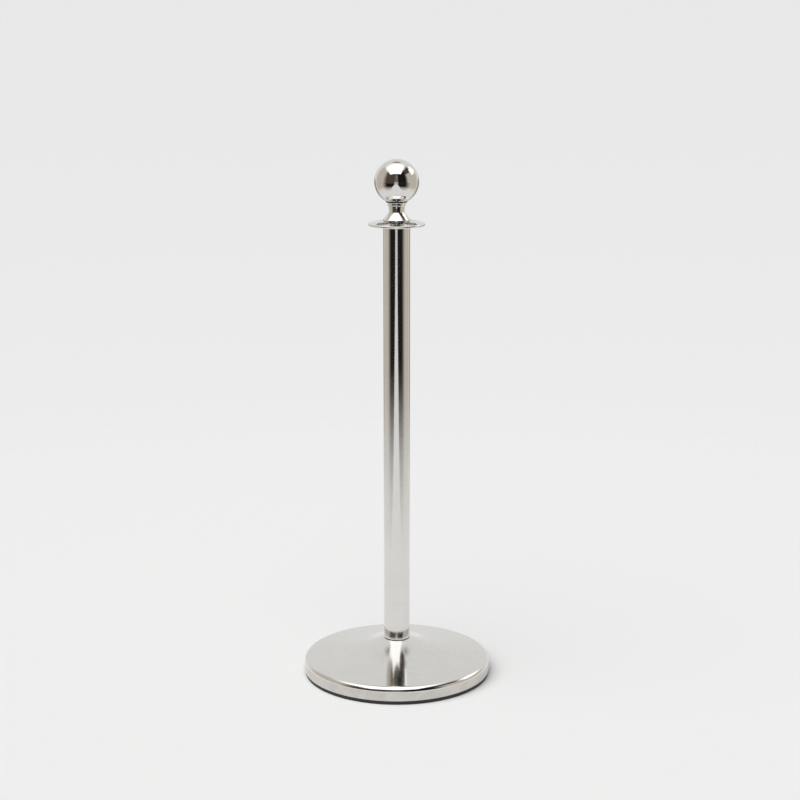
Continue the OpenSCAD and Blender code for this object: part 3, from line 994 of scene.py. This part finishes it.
paper_mesh = bpy.data.meshes.new("paper_floor")
paper_mesh.from_pydata(
    [(-paper_half, -paper_half, 0.0), (paper_half, -paper_half, 0.0),
     (paper_half, paper_half, 0.0), (-paper_half, paper_half, 0.0)],
    [], [(0, 1, 2, 3)])
paper_floor = link_new("paper_floor", paper_mesh)
paper_floor.visible_shadow = False   # lets the weak lamp below it reach the underside
paper, tree, shader, place = new_material("seamless_paper", Roughness=0.75, Specular_IOR_Level=0.2)
fibre = noise_field(tree, place, 400.0, 3.0)
fibre_mask = fade(tree, fibre, 0.3, 0.7)
paper_shade = mix_colour(tree, fibre_mask, paper_colour, fibre_colour)
tree.links.new(paper_shade, shader.inputs["Base Color"])
parts = add_node(tree, "ShaderNodeSeparateXYZ", {0: place})
far = add_node(tree, "ShaderNodeVectorMath", {0: place}, operation="LENGTH").outputs["Value"]
round_sheet = fade(tree, far, paper_r + paper_soft / 2, paper_r - paper_soft / 2)
beside = maths(tree, "MULTIPLY_ADD", parts.outputs[1], -strip_lean, parts.outputs[0])
beside = maths(tree, "ABSOLUTE", beside)
strip = fade(tree, beside, strip_half_w + strip_soft / 2, strip_half_w - strip_soft / 2)
strip = maths(tree, "MULTIPLY", strip, maths(tree, "LESS_THAN", parts.outputs[1], 0.0))
strip = maths(tree, "MULTIPLY", strip, fade(tree, far, strip_dark_y, strip_bright_y))
light_path = add_node(tree, "ShaderNodeLightPath")
strip = maths(tree, "MULTIPLY", strip, light_path.outputs["Is Glossy Ray"])
sheet = maths(tree, "MAXIMUM", round_sheet, strip)
below = add_node(tree, "ShaderNodeNewGeometry").outputs["Backfacing"]
below = maths(tree, "MULTIPLY", below, light_path.outputs["Is Camera Ray"])
sheet = maths(tree, "MULTIPLY", sheet, maths(tree, "SUBTRACT", 1.0, below))
clear = add_node(tree, "ShaderNodeBsdfTransparent")
# Painted glow: inside the rubber ring the paper glows for glossy rays in place of its own shaded
# surface. This gives a painted reflection in the steel under the base.
under_base = maths(tree, "MULTIPLY", maths(tree, "LESS_THAN", far, ring_in_r),
                   light_path.outputs["Is Glossy Ray"])
glow = add_node(tree, "ShaderNodeEmission", {"Color": under_glow})
lit_paper = add_node(tree, "ShaderNodeMixShader", {0: under_base, 1: shader.outputs[0],
                                                   2: glow.outputs[0]})
paper_mix = add_node(tree, "ShaderNodeMixShader", {0: sheet, 1: clear.outputs[0],
                                                   2: lit_paper.outputs[0]})
tree.links.new(paper_mix.outputs[0], tree.nodes["Material Output"].inputs["Surface"])
paper_mesh.materials.append(paper)

world = bpy.data.worlds.new("studio")
bpy.context.scene.world = world
world.use_nodes = True
tree = world.node_tree
backdrop = tree.nodes["Background"]
direction = add_node(tree, "ShaderNodeTexCoord").outputs["Generated"]
parts = add_node(tree, "ShaderNodeSeparateXYZ", {0: direction})
bearing = maths(tree, "ARCTAN2", parts.outputs[0], maths(tree, "MULTIPLY", parts.outputs[1], -1.0))
rise = maths(tree, "ARCSINE", parts.outputs[2])


def between(value, low, high, soft):
    """1 between two angles in degrees, with soft edges."""
    up = fade(tree, value, radians(low - soft / 2), radians(low + soft / 2))
    down = fade(tree, value, radians(high + soft / 2), radians(high - soft / 2))
    return maths(tree, "MULTIPLY", up, down)


def hang(room, colour, bearings, rises, side_soft, rise_soft):
    """Adds a card or light of one colour to the room, over a range of bearings and heights."""
    mask = between(rise, *rises, rise_soft)
    mask = maths(tree, "MULTIPLY", mask, between(bearing, *bearings, side_soft))
    return mix_colour(tree, mask, room, (*colour, 1))


back_wall = (0.80, 0.805, 0.80)
side_wall = (0.60, 0.55, 0.485)
low_wall = (0.30, 0.28, 0.26)
dark_room = (0.013, 0.012, 0.012)
brown_room = (0.085, 0.064, 0.052)
brown_beam = (0.16, 0.135, 0.115)
grey_door = (0.20, 0.185, 0.17)
blue_card = (0.50, 0.54, 0.60)
far_paper = (0.50, 0.50, 0.50)
soft_light = (1.75, 1.76, 1.78)

room = (*back_wall, 1)

# Each thing in the room: colour, bearings (0 is the camera's side, 90 the right), heights, and how
# soft its sides and its ends are, all in degrees. What stands behind is given from both sides,
# because bearings run from -180 to 180.
for colour, bearings, rises, side_soft, rise_soft in (
    (side_wall, (-128, 128), (-30, 46), 24, 10),
    (low_wall, (138, 222), (-40, -3), 18, 6),
    (low_wall, (-222, -138), (-40, -3), 18, 6),
    (blue_card, (-75, 125), (62, 100), 20, 6),
    (brown_beam, (-197, -163), (53, 64), 24, 6),
    (brown_beam, (163, 197), (53, 64), 24, 6),
    (brown_room, (-66, 112), (36, 57), 20, 5),
    (brown_room, (-66, 0), (-6, 42), 28, 5),
    (dark_room, (-3, 56), (-6, 48), 20, 5),
    (dark_room, (-68, 62), (-40, -4), 38, 5),
    (grey_door, (-5, 6), (0, 44), 8, 6),
    (far_paper, (-12, 7), (-40, 3), 5, 3),
    (soft_light, (97, 132), (22, 43), 8, 6),
):
    room = hang(room, colour, bearings, rises, side_soft, rise_soft)

# The softbox is flat and level, so its edges are straight lines overhead, given as shares of its
# height above the floor; each edge has its own softness.
softbox_left, softbox_left_soft = -0.80, 0.12
softbox_right, softbox_right_soft = 0.50, 0.08
softbox_near, softbox_near_soft = -0.98, 0.06
softbox_far, softbox_far_soft = 0.28, 0.35
horizon_rise = 0.05
above = maths(tree, "MAXIMUM", parts.outputs[2], horizon_rise)
across = maths(tree, "DIVIDE", parts.outputs[0], above)
along = maths(tree, "DIVIDE", parts.outputs[1], above)
left_edge = fade(tree, across, softbox_left - softbox_left_soft, softbox_left + softbox_left_soft)
right_edge = fade(tree, across, softbox_right + softbox_right_soft,
                  softbox_right - softbox_right_soft)
near_edge = fade(tree, along, softbox_near - softbox_near_soft, softbox_near + softbox_near_soft)
far_edge = fade(tree, along, softbox_far + softbox_far_soft, softbox_far - softbox_far_soft)
softbox = maths(tree, "MULTIPLY", left_edge, right_edge)
softbox = maths(tree, "MULTIPLY", softbox, near_edge)
softbox = maths(tree, "MULTIPLY", softbox, far_edge)
room = mix_colour(tree, softbox, room, (*soft_light, 1))
plain_light = (0.25, 0.25, 0.25, 1)
seen_top = (0.807, 0.807, 0.807, 1)
seen_bottom = (0.871, 0.871, 0.871, 1)
seen_bottom_rise = -25
light_path = add_node(tree, "ShaderNodeLightPath")
seen = mix_colour(tree, fade(tree, rise, 0.0, radians(seen_bottom_rise)), seen_top, seen_bottom)
lit = mix_colour(tree, light_path.outputs["Is Glossy Ray"], plain_light, room)
lit = mix_colour(tree, light_path.outputs["Is Camera Ray"], lit, seen)
tree.links.new(lit, backdrop.inputs["Color"])


def hang_sun(name, energy, angle, rotation):
    """A soft sun lamp that lights matt surfaces and isn't mirrored in the steel."""
    sun_data = bpy.data.lights.new(name, "SUN")
    sun_data.energy = energy
    sun_data.angle = radians(angle)
    sun = link_new(name, sun_data)
    sun.rotation_euler = rotation
    sun.visible_glossy = False


key_from = Vector((-0.38, -0.45, 1.0))
below_lean = 20
hang_sun("overhead_key", energy=2.75, angle=70,
         rotation=key_from.to_track_quat("Z", "Y").to_euler())
hang_sun("light_from_below", energy=1.2, angle=60,
         rotation=(radians(180 - below_lean), 0.0, 0.0))

camera_data = bpy.data.cameras.new("camera")
camera_data.sensor_width = 36.0
camera_data.lens = 85.55
camera_right, camera_back, camera_up = 0.0061, 3.513, 1.3563
camera_tip = 13.02
camera = link_new("camera", camera_data)
camera.location = (camera_right, -camera_back, camera_up)
camera.rotation_euler = (radians(90 - camera_tip), 0.0, 0.0)
bpy.context.scene.camera = camera
bpy.context.scene.view_settings.view_transform = "Standard"
